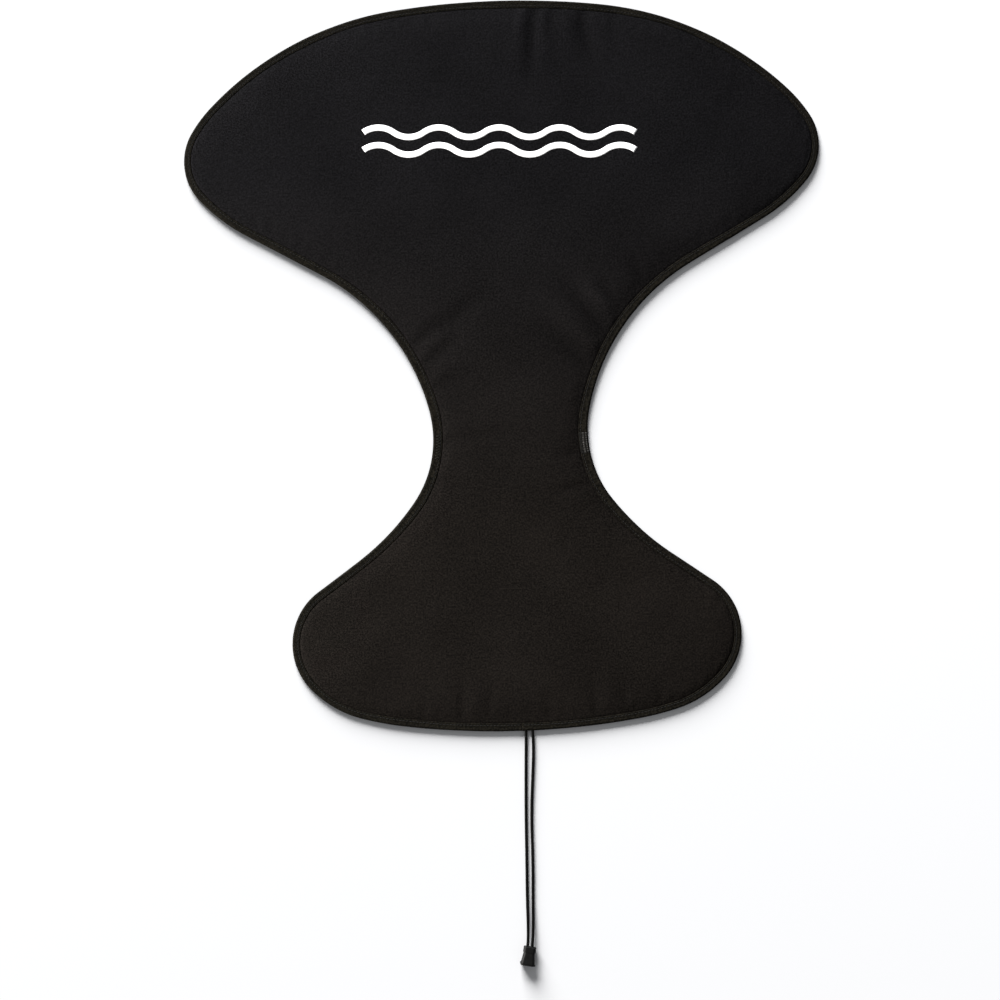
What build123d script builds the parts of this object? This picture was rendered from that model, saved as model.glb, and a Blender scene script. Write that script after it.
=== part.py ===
from build123d import *
import math
import os

# A flat padded fabric cover, shaped like an hourglass: a wide lobe and a narrow lobe joined by a waist.
# Its rim is bound with folded tape, and an elastic draw cord runs inside the binding all the way round.
# Both ends of the draw cord leave the binding at the narrow lobe's end and meet in a moulded cord end.
# Millimetres. +Z comes out of the face, +Y points to the wide lobe, and z = 0 is the surface it lies on.

# Rim outline: the right half, as tangent arcs and straight runs from the wide end to the narrow end.
# Each entry is (radius, turn in degrees); a radius below zero is a hollow, and None is a straight run.
WIDE_END_Y = 365.6
RIM_RUNS = [
    (811.0, 7.3),
    (322.0, 37.4),
    (141.0, 13.8),
    (56.0, 72.7),
    (174.0, 19.3),
    (None, 84.8),
    (-217.0, 47.6),
    (-112.5, 49.7),
    (-262.0, 17.9),
    (None, 48.0),
    (65.0, 96.7),
    (107.0, 31.5),
    (305.0, 8.3),
]

# The fold across the waist, between the two lobes.
FOLD_Y = -64.0
FOLD_GAP = 0.4
# A cutting block larger than the cover, and how far a cut runs past what it cuts.
CUT_BLOCK = 2000.0
CUT_MARGIN = 1.0

# Layers.
LINING_THICK = 0.8
FACE_THICK = 0.6
PAD_THICK = 7.0
PAD_SLOPE_WIDTH = 19.0

# Binding tape, folded round the rim.
BINDING_WIDTH = 11.0
TAPE_THICK = 0.6
BINDING_THICK = 4.4
BINDING_ROUND = 1.8
TAPE_JOIN_X = 2.6
TAPE_JOIN_GAP = 0.5
CORD_SLOT_X = (3.6, 16.4)
CORD_SLOT_DEPTH = 4.0
CORD_SLOT_SPARE = 0.4

# Draw cord.
CORD_DIAMETER = 3.0
RIM_CORD_INSET = 2.1
RIM_CORD_ROOM = 0.6
RIM_CORD_GAP = 0.12
CORD_STOP_X = (3.3, 15.4)
# The two free ends, as the points of their straight runs; tangent arcs join the runs.
LEFT_LEG = [
    (6.2, -362.0, 2.2),
    (5.7, -378.0, 1.8),
    (4.4, -411.0, 1.62),
    (3.2, -453.0, 1.62),
    (2.5, -499.0, 1.62),
    (1.75, -536.0, 1.66),
    (1.9, -560.0, 3.3),
    (1.2, -579.0, 5.0),
    (-0.46, -588.9, 5.15),
]
RIGHT_LEG = [
    (12.5, -362.0, 2.2),
    (13.3, -379.0, 1.8),
    (11.4, -409.0, 1.62),
    (8.6, -449.0, 1.62),
    (8.7, -497.0, 1.62),
    (7.4, -536.0, 1.66),
    (7.0, -560.0, 3.3),
    (5.6, -579.5, 5.0),
    (3.87, -589.7, 5.15),
]
ARC_SHARE = 0.45

# Thread in the binding.
THREAD_WIDTH = 0.6
THREAD_THICK = 0.35
THREAD_SINK = 0.2
THREAD_INSET = 8.4

# Printed mark: two plain wavy bands, one over the other.
MARK_CENTRE = (-1.5, 224.5)
MARK_TURN = -1.8
MARK_WIDTH = 272.0
MARK_HALF_WAVES = 9
MARK_SWING = 35.0
MARK_STROKE = 6.0
MARK_SPACING = 17.5
MARK_THICK = 0.12

# Side label, folded over the rim at the waist, and the bar-tack opposite it.
LABEL_LENGTH = 20.0
LABEL_X = (69.5, 80.0)
LABEL_Y = -79.0
LABEL_THICK = 0.5
LABEL_RAISE = 0.2
LABEL_FLAP = 3.4
TACK_SIZE = (9.0, 24.0)
TACK_THICK = 0.4
TACK_CENTRE = (-69.4, -78.8)

# Moulded cord end: a bell with a collar, a lid that snaps on its wide end, and the knot inside.
# It is drawn standing on its axis, with z = 0 at the collar's mouth, and then laid down.
END_MOUTH = (3.17, -581.2, 5.15)
END_LEAN = 10.3
COLLAR_SIZE = (12.6, 8.6)
COLLAR_LENGTH = 5.6
NECK_SIZE = (11.2, 7.8)
BELL_SIZE = (14.2, 10.0)
BELL_LENGTH = 11.2
BELL_WALL = 1.4
BELL_ROOF = 3.2
BELL_CORNER = 3.0
CORD_HOLE = (8.2, 3.9)
LID_THICK = 1.8
LID_GAP = 0.25
LID_PLUG_DEPTH = 1.6
LID_PLUG_GAP = 0.3
LID_PLUG_TAPER = 0.3
LID_TAB = (1.8, 4.6, 1.1)
LID_TAB_OUT = 0.7
LID_TAB_DROP = 1.25
LID_BEAD = 0.8
LID_BEAD_IN = 0.2
LID_BEAD_LENGTH = 6.6
LID_BEAD_GAP = 0.25
KNOT_SIZE = (8.0, 4.9, 5.6)
KNOT_TOP = 8.4
KNOT_ROUND = 2.2
END_ROUND = 0.6
SHORT_FLAT = 0.1

RIM_LINING_TOP = TAPE_THICK + LINING_THICK
RIM_FOAM_TOP = BINDING_THICK - TAPE_THICK - FACE_THICK
CORD_ROOM = TAPE_THICK + CORD_DIAMETER + RIM_CORD_ROOM


def rim(inset):
    """The pad's outline, moved inwards by inset, as a face on the floor."""
    point = Vector(0, WIDE_END_Y - inset)
    heading = 0.0
    edges = []
    for radius, amount in RIM_RUNS:
        direction = Vector(math.cos(math.radians(heading)), math.sin(math.radians(heading)))
        if radius is None:
            edge = Line(point, point + direction * amount)
        elif radius > 0:
            edge = JernArc(point, direction, radius - inset, -amount)
            heading -= amount
        else:
            edge = JernArc(point, direction, -radius + inset, amount)
            heading += amount
        edges.append(edge)
        point = edge @ 1
    # The last arc has its centre on the centre line, so the two halves meet without a corner.
    left_to_turn = 180.0 + heading
    last_radius = point.X / math.sin(math.radians(left_to_turn))
    direction = Vector(math.cos(math.radians(heading)), math.sin(math.radians(heading)))
    edges.append(JernArc(point, direction, last_radius, -left_to_turn))
    edges += [mirror(edge, Plane.YZ) for edge in edges]
    return make_face(Wire([e.edge() for e in edges]))


def slab(inset, low, high):
    """The outline's area between two heights."""
    return Pos(0, 0, low) * extrude(rim(inset), high - low)


def ring(inset, width, low, high):
    """A band that follows the rim."""
    return slab(inset, low, high) - slab(inset + width, low - CUT_MARGIN, high + CUT_MARGIN)


def crown(top, rim_top):
    """The padded shape up to a height: flat in the middle, sloping down to a thin flat rim."""
    raised = slab(BINDING_WIDTH, LINING_THICK, top)
    raised = chamfer(
        raised.edges().group_by(Axis.Z)[-1],
        PAD_SLOPE_WIDTH,
        top - rim_top,
        reference=raised.faces().sort_by(Axis.Z)[-1],
    )
    return raised + slab(CORD_ROOM, RIM_LINING_TOP, rim_top)


def lobe(shape, upper):
    """The part of a shape on one side of the fold."""
    shift = CUT_BLOCK / 2 + FOLD_GAP / 2
    return shape & Pos(0, FOLD_Y + (shift if upper else -shift), 0) * Box(CUT_BLOCK, CUT_BLOCK, CUT_BLOCK)


def only_part(shape):
    """A shape as a part, whichever way the last operation returned it."""
    solids = shape.solids()
    return solids[0] if len(solids) == 1 else Compound(solids)


def make_lining():
    middle = slab(BINDING_WIDTH, 0, LINING_THICK)
    return middle + ring(CORD_ROOM, BINDING_WIDTH + CUT_MARGIN - CORD_ROOM, TAPE_THICK, RIM_LINING_TOP)


def make_foam():
    return crown(PAD_THICK - FACE_THICK, RIM_FOAM_TOP) - make_lining()


def make_face_fabric():
    return crown(PAD_THICK, RIM_FOAM_TOP + FACE_THICK) - crown(PAD_THICK - FACE_THICK, RIM_FOAM_TOP)


def make_thread(low):
    return ring(THREAD_INSET, THREAD_WIDTH, low, low + THREAD_THICK)


def make_binding():
    outside = slab(0, 0, BINDING_THICK)
    outside = fillet(
        outside.edges().group_by(Axis.Z)[-1] + outside.edges().group_by(Axis.Z)[0], BINDING_ROUND
    )
    inside = slab(TAPE_THICK, TAPE_THICK, BINDING_THICK - TAPE_THICK)
    inside = fillet(
        inside.edges().group_by(Axis.Z)[-1] + inside.edges().group_by(Axis.Z)[0],
        BINDING_ROUND - TAPE_THICK,
    )
    tape = outside - inside - slab(BINDING_WIDTH, -CUT_MARGIN, BINDING_THICK + CUT_MARGIN)
    tape -= make_thread(0)
    tape -= make_thread(BINDING_THICK - THREAD_SINK)
    # The tape's two ends meet beside the cord exit.
    join = Box(TAPE_JOIN_GAP, BINDING_WIDTH + 2 * CUT_MARGIN, BINDING_THICK)
    tape -= Pos(TAPE_JOIN_X, -WIDE_END_Y + BINDING_WIDTH / 2, BINDING_THICK) * join
    slot = Box(CORD_SLOT_X[1] - CORD_SLOT_X[0], CORD_SLOT_DEPTH, CORD_DIAMETER + CORD_SLOT_SPARE)
    return tape - Pos(sum(CORD_SLOT_X) / 2, -WIDE_END_Y, BINDING_THICK / 2) * slot


def make_rim_cord():
    height = BINDING_THICK / 2
    path = Pos(0, 0, height) * rim(RIM_CORD_INSET).face().outer_wire()
    section = Plane(origin=path @ 0, z_dir=path % 0) * Circle(CORD_DIAMETER / 2 - RIM_CORD_GAP)
    cord = sweep(section, path)
    # The cord leaves the rim at the exit, where its two ends turn out of the binding.
    stop = Box(CORD_STOP_X[1] - CORD_STOP_X[0], 3 * CORD_DIAMETER, 3 * CORD_DIAMETER)
    return cord - Pos(sum(CORD_STOP_X) / 2, RIM_CORD_INSET - WIDE_END_Y, height) * stop


def make_leg(name, points):
    """A free end of the draw cord: straight runs joined by arcs as large as the runs allow."""
    points = [Vector(*p) for p in points]
    radii = []
    for before, corner, after in zip(points, points[1:], points[2:]):
        turn = math.radians((corner - before).get_angle(after - corner))
        shorter = min((corner - before).length, (after - corner).length)
        radii.append(ARC_SHARE * shorter / math.tan(turn / 2))
    path = FilletPolyline(*points, radius=radii)
    tube = sweep(Plane(origin=path @ 0, z_dir=path % 0) * Circle(CORD_DIAMETER / 2), path)
    wanted = path.length * math.pi * (CORD_DIAMETER / 2) ** 2
    print(name, "radii", [round(r) for r in radii], "length", round(path.length, 1))
    print(name, "volume", round(tube.volume, 1), "section times length", round(wanted, 1))
    return tube


def make_mark():
    """A generic mark: two plain wavy bands, each a row of equal arcs."""
    chord = MARK_WIDTH / MARK_HALF_WAVES
    radius = chord / 2 / math.sin(math.radians(MARK_SWING))
    place = Pos(*MARK_CENTRE, PAD_THICK) * Rot(0, 0, MARK_TURN)
    bands = []
    for side in (-1, 1):
        point = Vector(-MARK_WIDTH / 2, side * MARK_SPACING / 2)
        arcs = []
        for i in range(MARK_HALF_WAVES):
            up = 1 if i % 2 == 0 else -1
            heading = math.radians(MARK_SWING * up)
            direction = (math.cos(heading), math.sin(heading))
            arcs.append(JernArc(point, direction, radius, -2 * MARK_SWING * up))
            point = arcs[-1] @ 1
        bands.append(place * extrude(trace(arcs, MARK_STROKE), MARK_THICK))
    return bands[0] + bands[1]


def make_side_label():
    """A small woven label: a leaf on the binding, turned down over the rim's edge."""
    low, high = LABEL_X
    top = BINDING_THICK + LABEL_RAISE + LABEL_THICK
    leaf = Pos((low + high) / 2, LABEL_Y, top - LABEL_THICK / 2)
    flap = Pos(high - LABEL_THICK / 2, LABEL_Y, top - LABEL_FLAP / 2)
    label = leaf * Box(high - low, LABEL_LENGTH, LABEL_THICK)
    return label + flap * Box(LABEL_THICK, LABEL_LENGTH, LABEL_FLAP)


def make_bar_tack():
    """The dense zigzag of thread that locks the binding at the waist."""
    block = Pos(*TACK_CENTRE, BINDING_THICK + TACK_THICK / 2) * Box(*TACK_SIZE, TACK_THICK)
    return block - make_thread(BINDING_THICK - THREAD_SINK)


def lay_down(shape):
    """Takes a piece of the cord end from its own axis to where it lies."""
    lean = math.radians(END_LEAN)
    place = Plane(
        origin=END_MOUTH,
        x_dir=(math.cos(lean), -math.sin(lean), 0),
        z_dir=(math.sin(lean), math.cos(lean), 0),
    )
    return place.location * shape


def oval(size, height):
    """A rounded rectangle across the cord end's axis."""
    corner = min(BELL_CORNER, (min(size) - SHORT_FLAT) / 2)
    return Pos(0, 0, height) * RectangleRounded(*size, corner)


def smaller(size, margin):
    return (size[0] - 2 * margin, size[1] - 2 * margin)


BELL_FLOOR = -COLLAR_LENGTH - BELL_LENGTH
BEAD_PLACE = Pos(LID_BEAD_IN - BELL_SIZE[0] / 2, 0, BELL_FLOOR - LID_GAP / 2) * Rot(90, 0, 0)


def make_end_body():
    collar = extrude(oval(COLLAR_SIZE, -COLLAR_LENGTH), COLLAR_LENGTH)
    collar = fillet(collar.edges().group_by(Axis.Z)[-1], END_ROUND)
    bell = loft([oval(NECK_SIZE, -COLLAR_LENGTH), oval(BELL_SIZE, BELL_FLOOR)], ruled=True)
    cavity = loft(
        [oval(smaller(NECK_SIZE, BELL_WALL), -COLLAR_LENGTH), oval(smaller(BELL_SIZE, BELL_WALL), BELL_FLOOR)],
        ruled=True,
    )
    cavity += extrude(oval(smaller(NECK_SIZE, BELL_WALL), -COLLAR_LENGTH), COLLAR_LENGTH - BELL_ROOF)
    body = collar + bell + BEAD_PLACE * Cylinder(LID_BEAD, LID_BEAD_LENGTH)
    body = body - cavity - extrude(oval(CORD_HOLE, -COLLAR_LENGTH), COLLAR_LENGTH + CUT_MARGIN)
    return lay_down(body)


def make_end_lid():
    top = BELL_FLOOR - LID_GAP
    plate = extrude(oval(BELL_SIZE, top - LID_THICK), LID_THICK)
    plate = fillet(plate.edges().group_by(Axis.Z)[0], END_ROUND)
    plug_size = smaller(BELL_SIZE, BELL_WALL + LID_PLUG_GAP + LID_PLUG_TAPER)
    plug = extrude(oval(plug_size, top), LID_GAP + LID_PLUG_DEPTH)
    tab = Pos(BELL_SIZE[0] / 2 + LID_TAB_OUT - LID_TAB[0] / 2, 0, top - LID_TAB_DROP) * Box(*LID_TAB)
    lid = plate + plug + tab
    lid -= BEAD_PLACE * Cylinder(LID_BEAD + LID_BEAD_GAP, LID_BEAD_LENGTH + 2 * LID_BEAD_GAP)
    return lay_down(lid)


def make_knot():
    knot = fillet(Box(*KNOT_SIZE).edges(), KNOT_ROUND)
    return lay_down(Pos(0, 0, -KNOT_TOP - KNOT_SIZE[2] / 2) * knot)


layers = {
    "face_fabric": make_face_fabric(),
    "foam": make_foam(),
    "back_lining": make_lining(),
    "binding": make_binding(),
    "rim_cord": make_rim_cord(),
    "needle_thread": make_thread(BINDING_THICK - THREAD_SINK),
    "bobbin_thread": make_thread(0),
}
nodes = {}
for name, layer in layers.items():
    nodes[name + "_upper"] = lobe(layer, True)
    nodes[name + "_lower"] = lobe(layer, False)
nodes["printed_mark"] = make_mark()
nodes["side_label"] = make_side_label()
nodes["waist_bar_tack"] = make_bar_tack()
nodes["cord_leg_left"] = make_leg("cord_leg_left", LEFT_LEG)
nodes["cord_leg_right"] = make_leg("cord_leg_right", RIGHT_LEG)
nodes["cord_end_body"] = make_end_body()
nodes["cord_end_lid"] = make_end_lid()
nodes["cord_knot"] = make_knot()

os.makedirs("parts", exist_ok=True)
for name, shape in nodes.items():
    export_step(only_part(shape), f"parts/{name}.step")

hinge = lay_down(BEAD_PLACE)
print("lid hinge at", [round(v, 3) for v in hinge.position])
print("lid hinge axis", [round(v, 4) for v in hinge.z_axis.direction])
print("outline", rim(0).bounding_box())
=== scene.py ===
import math

import bpy
import numpy as np
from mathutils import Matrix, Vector, geometry, kdtree


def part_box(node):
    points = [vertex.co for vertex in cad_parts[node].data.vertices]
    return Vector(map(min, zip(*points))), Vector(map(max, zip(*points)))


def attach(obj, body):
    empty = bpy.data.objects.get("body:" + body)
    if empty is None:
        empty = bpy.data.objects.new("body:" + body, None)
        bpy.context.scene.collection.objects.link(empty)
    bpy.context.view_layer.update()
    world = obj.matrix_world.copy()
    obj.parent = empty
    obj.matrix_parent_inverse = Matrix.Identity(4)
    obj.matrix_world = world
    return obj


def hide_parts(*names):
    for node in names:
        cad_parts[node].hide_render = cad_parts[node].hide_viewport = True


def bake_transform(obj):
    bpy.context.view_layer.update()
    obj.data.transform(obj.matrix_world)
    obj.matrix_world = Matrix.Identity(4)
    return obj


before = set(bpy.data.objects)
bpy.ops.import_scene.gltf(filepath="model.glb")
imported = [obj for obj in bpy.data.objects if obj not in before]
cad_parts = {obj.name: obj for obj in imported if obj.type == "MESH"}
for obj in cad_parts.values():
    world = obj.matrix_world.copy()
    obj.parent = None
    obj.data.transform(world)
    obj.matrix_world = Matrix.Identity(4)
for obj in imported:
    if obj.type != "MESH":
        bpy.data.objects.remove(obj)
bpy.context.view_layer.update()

# A flat padded cover with a tape-bound rim. Metres. The shape of the rim repeats the CAD model's.
MM = 0.001

# Rim outline, right half, from the wide end to the narrow end: (radius in mm, turn in degrees).
# A radius below zero is a hollow, and None is a straight run of that many mm.
RIM_RUNS = [
    (811.0, 7.3),
    (322.0, 37.4),
    (141.0, 13.8),
    (56.0, 72.7),
    (174.0, 19.3),
    (None, 84.8),
    (-217.0, 47.6),
    (-112.5, 49.7),
    (-262.0, 17.9),
    (None, 48.0),
    (65.0, 96.7),
    (107.0, 31.5),
    (305.0, 8.3),
]
RIM_STEP = 0.25 * MM

# Heights above the surface that the cover lies on, thicknesses, and distances in from the rim.
PAD_TOP = 6.8 * MM
FABRIC = 0.6 * MM
FOAM_BELOW_FACE = 0.75 * MM
FOAM_BOTTOM = 1.6 * MM
LINING = 0.5 * MM
GROOVE_DEPTH = 1.05 * MM
SHOULDER_RISE = 0.85 * MM
BINDING_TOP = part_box("binding_upper")[1].z
TAPE = 0.6 * MM
CORD_RADIUS = 1.45 * MM
CORD_INSET = 2.1 * MM
CORD_ENDS = (3.2 * MM, 15.5 * MM)
SHOULDER_REACH = 1.0 * MM
SWELL_REACH = 26 * MM
EVEN_REACH = 24 * MM
CREASE_REACH = 7 * MM
TAPE_JOIN_X = 2.6 * MM
STITCH_PITCH = 3.4 * MM
STITCH_LENGTH = 2.8 * MM
STITCH_RADIUS = 0.24 * MM
STITCH_FROM_EDGE = 1.9 * MM
TACK_INSET = 5.4 * MM
TACK_HALF_WIDTH = 2.2 * MM
TACK_PASSES = 18

# How far the layers' hidden edges reach under the binding, how steeply they drop there, and how far
# from the rim their rings end.
SEAM_ALLOWANCE = 3.0 * MM
SEAM_MIDDLE = 1.2 * MM
SEAM_SLOPE = 0.08
RINGS_END = 34 * MM
FOAM_RINGS_END = 36 * MM

# The rings of each layer, as shares of the way from the binding's inner edge to the last ring.
FACE_RINGS = [0.0, 0.012, 0.025, 0.04, 0.06, 0.085, 0.12, 0.165]
FACE_RINGS += [0.225, 0.3, 0.39, 0.49, 0.6, 0.72, 0.85, 1.0]
FOAM_RINGS = [0.0, 0.1, 0.22, 0.4, 0.7, 1.0]
LINING_RINGS = [0.0, 0.05, 0.12, 0.22, 0.35, 0.5, 0.72, 1.0]

# Cloth simulation of the face: how far a point may move, and how much spare cloth is sewn in.
CLOTH_FRAMES = 20
CLOTH_PRESSURE = 4.0
CLOTH_MASS = 0.3
CLOTH_SPARE = 0.004
CLOTH_CAP = 0.35 * MM

# Visible width of the binding: (share of the way from the wide end's middle to the narrow end's, mm).
BINDING_WIDTHS = [
    (0.0, 7.5),
    (0.15, 7.1),
    (0.28, 7.0),
    (0.4, 7.5),
    (0.52, 8.8),
    (0.64, 9.4),
    (0.76, 7.4),
    (0.88, 7.5),
    (1.0, 7.8),
]

# Creases pressed into the face, each from its rim end inwards: start, end, half width and depth, all
# in mm. A depth below zero is a ridge.
CREASES = [
    # The wide end's middle.
    ((36, 354), (28, 262), 5.5, 1.5),
    ((55, 352), (54, 314), 4.0, 0.7),
    ((83, 349), (96, 282), 5.5, 1.3),
    ((113, 343), (117, 314), 5.0, 0.5),
    ((24, 354), (14, 284), 6.0, -0.7),
    ((46, 353), (46, 280), 6.0, -0.7),
    ((68, 351), (72, 280), 7.0, -0.7),
    ((99, 346), (110, 288), 7.0, -0.5),
    # The neck's left side.
    ((-87, 29), (-30, 66), 7.5, 1.0),
    ((-46, 54), (4, 104), 9.0, 0.6),
    ((-79, 7), (-28, 50), 6.5, 0.9),
    ((-72, -19), (-26, -2), 6.0, 0.7),
    ((-80, 20), (-44, 50), 6.0, -0.4),
    ((-74, -6), (-40, 14), 6.0, -0.3),
    # The neck's right side.
    ((93, 36), (44, 98), 6.0, 1.4),
    ((80, -6), (22, 56), 8.0, 1.3),
    ((112, 60), (84, 90), 4.5, 1.1),
    ((88, 16), (14, 88), 8.0, -1.3),
    ((102, 49), (70, 98), 6.0, -1.2),
    ((137, 83), (120, 110), 4.5, 1.0),
    ((163, 99), (152, 126), 5.0, 0.8),
    # The waist.
    ((70, -88), (36, -93), 4.5, 1.0),
    ((68, -122), (34, -131), 4.5, 1.0),
    ((81, -142), (60, -151), 4.0, 0.5),
    ((-63, -72), (14, -66), 5.0, 0.7),
    ((-64, -113), (-34, -128), 8.0, 0.6),
    # The narrow end's middle.
    ((-58, -349), (-55, -300), 4.0, 0.75),
    ((-31, -350), (-26, -304), 4.0, 0.68),
    ((28, -351), (29, -318), 4.0, 0.4),
    ((76, -349), (73, -303), 4.0, 0.75),
    ((106, -346), (102, -306), 4.0, 0.6),
    ((142, -340), (136, -306), 4.5, 0.6),
    ((-96, -346), (-90, -312), 4.5, 0.4),
    ((-45, -348), (-42, -308), 5.0, -0.4),
    ((91, -347), (88, -308), 5.0, -0.4),
]

# The share by which a crease 1 mm deep darkens the cloth's colour: painted shade in the grooves, and a
# painted highlight on the ridges, whose depth is below zero.
CREASE_PAINTED_SHADE = 0.14

# Printed mark: two plain wavy bands.
MARK_CENTRE = (-1.5 * MM, 224.5 * MM)
MARK_TURN = math.radians(-1.8)
MARK_WIDTH = 272 * MM
MARK_HALF_WAVES = 9
MARK_SWING = math.radians(35)
MARK_STROKE = 6 * MM
MARK_SPACING = 17.5 * MM

# The free ends of the draw cord: the points of their routes, in mm.
LEFT_LEG = [
    (6.2, -362.0, 2.2),
    (5.7, -378.0, 1.8),
    (4.4, -411.0, 1.62),
    (3.2, -453.0, 1.62),
    (2.5, -499.0, 1.62),
    (1.75, -536.0, 1.66),
    (1.9, -560.0, 3.3),
    (1.2, -579.0, 5.0),
    (-0.46, -588.9, 5.15),
]
RIGHT_LEG = [
    (12.5, -362.0, 2.2),
    (13.3, -379.0, 1.8),
    (11.4, -409.0, 1.62),
    (8.6, -449.0, 1.62),
    (8.7, -497.0, 1.62),
    (7.4, -536.0, 1.66),
    (7.0, -560.0, 3.3),
    (5.6, -579.5, 5.0),
    (3.87, -589.7, 5.15),
]
LEG_DIAMETER = 3 * MM
BRAID_TURN = 7.5 * MM
BRAID_STRANDS = 4
BRAID_RELIEF = 0.13 * MM

# Camera: straight above, turned a little, and the floor it sees is this wide.
VIEW_CENTRE = (-0.0126, -0.1339)
VIEW_TURN = math.radians(-1.845)
VIEW_WIDTH = 1.0
CAMERA_HEIGHT = 2.6
CAMERA_SENSOR = 36.0


# ---------------------------------------------------------------- camera


def make_camera():
    data = bpy.data.cameras.new("camera")
    data.sensor_width = CAMERA_SENSOR
    data.lens = CAMERA_SENSOR * CAMERA_HEIGHT / VIEW_WIDTH
    data.clip_start = 0.05
    data.clip_end = 50
    camera = bpy.data.objects.new("camera", data)
    camera.location = (*VIEW_CENTRE, CAMERA_HEIGHT + BINDING_TOP)
    camera.rotation_euler = (0, 0, VIEW_TURN)
    bpy.context.scene.collection.objects.link(camera)
    bpy.context.scene.camera = camera


# ---------------------------------------------------------------- the rim's line


def trace_rim():
    """Points along the whole rim, clockwise from the wide end's middle: length so far, x, y and heading."""
    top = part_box("binding_upper")[1].y
    point = np.array([0.0, top])
    heading = 0.0
    xs, ys, hs = [0.0], [top], [0.0]

    def walk(length, curvature):
        nonlocal point, heading
        count = max(2, round(length / RIM_STEP))
        step = length / count
        for _ in range(count):
            middle = heading + curvature * step / 2
            point = point + step * np.array([math.cos(middle), math.sin(middle)])
            heading += curvature * step
            xs.append(point[0])
            ys.append(point[1])
            hs.append(heading)

    for radius, amount in RIM_RUNS:
        if radius is None:
            walk(amount * MM, 0.0)
        else:
            walk(abs(radius) * MM * math.radians(amount), -1 / (radius * MM))
    last = point[0] / math.sin(heading + math.pi)
    walk(last * (heading + math.pi), -1 / last)
    xs, ys, hs = (np.array(v) for v in (xs, ys, hs))
    xs[-1] = 0.0
    x = np.concatenate([xs, -xs[-2::-1]])
    y = np.concatenate([ys, ys[-2::-1]])
    h = np.concatenate([hs, -2 * math.pi - hs[-2::-1]])
    s = np.concatenate([[0], np.cumsum(np.hypot(np.diff(x), np.diff(y)))])
    return s, x, y, h


RIM_S, RIM_X, RIM_Y, RIM_H = trace_rim()
RIM_LENGTH = RIM_S[-1]


def on_rim(s):
    """Place and outward direction at lengths along the rim."""
    s = np.mod(s, RIM_LENGTH)
    x, y, h = (np.interp(s, RIM_S, v) for v in (RIM_X, RIM_Y, RIM_H))
    return np.stack([x, y], -1), np.stack([-np.sin(h), np.cos(h)], -1)


def inset_points(s, inset):
    """Places at lengths along the rim, and that far in from it."""
    place, out = on_rim(s)
    return place - out * np.asarray(inset)[..., None]


def binding_width(s):
    """Visible width of the binding: the same on both halves, apart from a small wander."""
    s = np.mod(s, RIM_LENGTH)
    share = np.minimum(s, RIM_LENGTH - s) / (RIM_LENGTH / 2)
    stops, widths = zip(*BINDING_WIDTHS)
    smooth = np.interp(share, stops, np.array(widths) * MM)
    wander = 0.25 * MM * np.sin(s / 0.041) + 0.18 * MM * np.sin(s / 0.0173 + 1.3)
    return smooth + wander


# ---------------------------------------------------------------- smooth noise


def make_noise(seed, size, octaves=2):
    """A smooth seeded field of about -1 to 1 whose bumps are about that many metres wide."""
    rng = np.random.default_rng(seed)
    waves = []
    for octave in range(octaves):
        for _ in range(7):
            angle = rng.uniform(0, 2 * math.pi)
            length = size * rng.uniform(0.75, 1.6) / 2**octave
            phase = rng.uniform(0, 6.28)
            waves.append((math.cos(angle) / length, math.sin(angle) / length, phase, 0.6**octave))

    def field(x, y):
        total = sum(a * np.sin(2 * math.pi * (x * u + y * v) + p) for u, v, p, a in waves)
        return total / math.sqrt(sum(w[3] ** 2 for w in waves)) / 1.4

    return field


BROAD = make_noise(3, 0.19)
MIDDLE = make_noise(5, 0.055)
FINE = make_noise(8, 0.017)


def smoothstep(t):
    """0 below 0, 1 above 1 and smooth between."""
    t = np.clip(t, 0, 1)
    return t * t * (3 - 2 * t)


# ---------------------------------------------------------------- meshes


def new_mesh(name, points, faces, uv=None, smooth=True):
    """A mesh object; uv gives each point's place on its cloth, in metres."""
    data = bpy.data.meshes.new(name)
    data.from_pydata([tuple(p) for p in points], [], [tuple(int(i) for i in f) for f in faces])
    data.validate()
    if uv is not None:
        loops = np.zeros(len(data.loops), np.int32)
        data.loops.foreach_get("vertex_index", loops)
        layer = data.uv_layers.new(name="cloth")
        layer.data.foreach_set("uv", np.asarray(uv)[loops].astype(np.float32).ravel())
    data.polygons.foreach_set("use_smooth", np.full(len(data.polygons), smooth))
    piece = bpy.data.objects.new(name, data)
    bpy.context.scene.collection.objects.link(piece)
    return piece


def ring_faces(rings, around):
    """Quads between rows of points, each row going round."""
    faces = []
    for r in range(rings - 1):
        a = r * around + np.arange(around)
        b = r * around + (np.arange(around) + 1) % around
        faces.append(np.stack([a, b, b + around, a + around], -1))
    return np.concatenate(faces)


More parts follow.
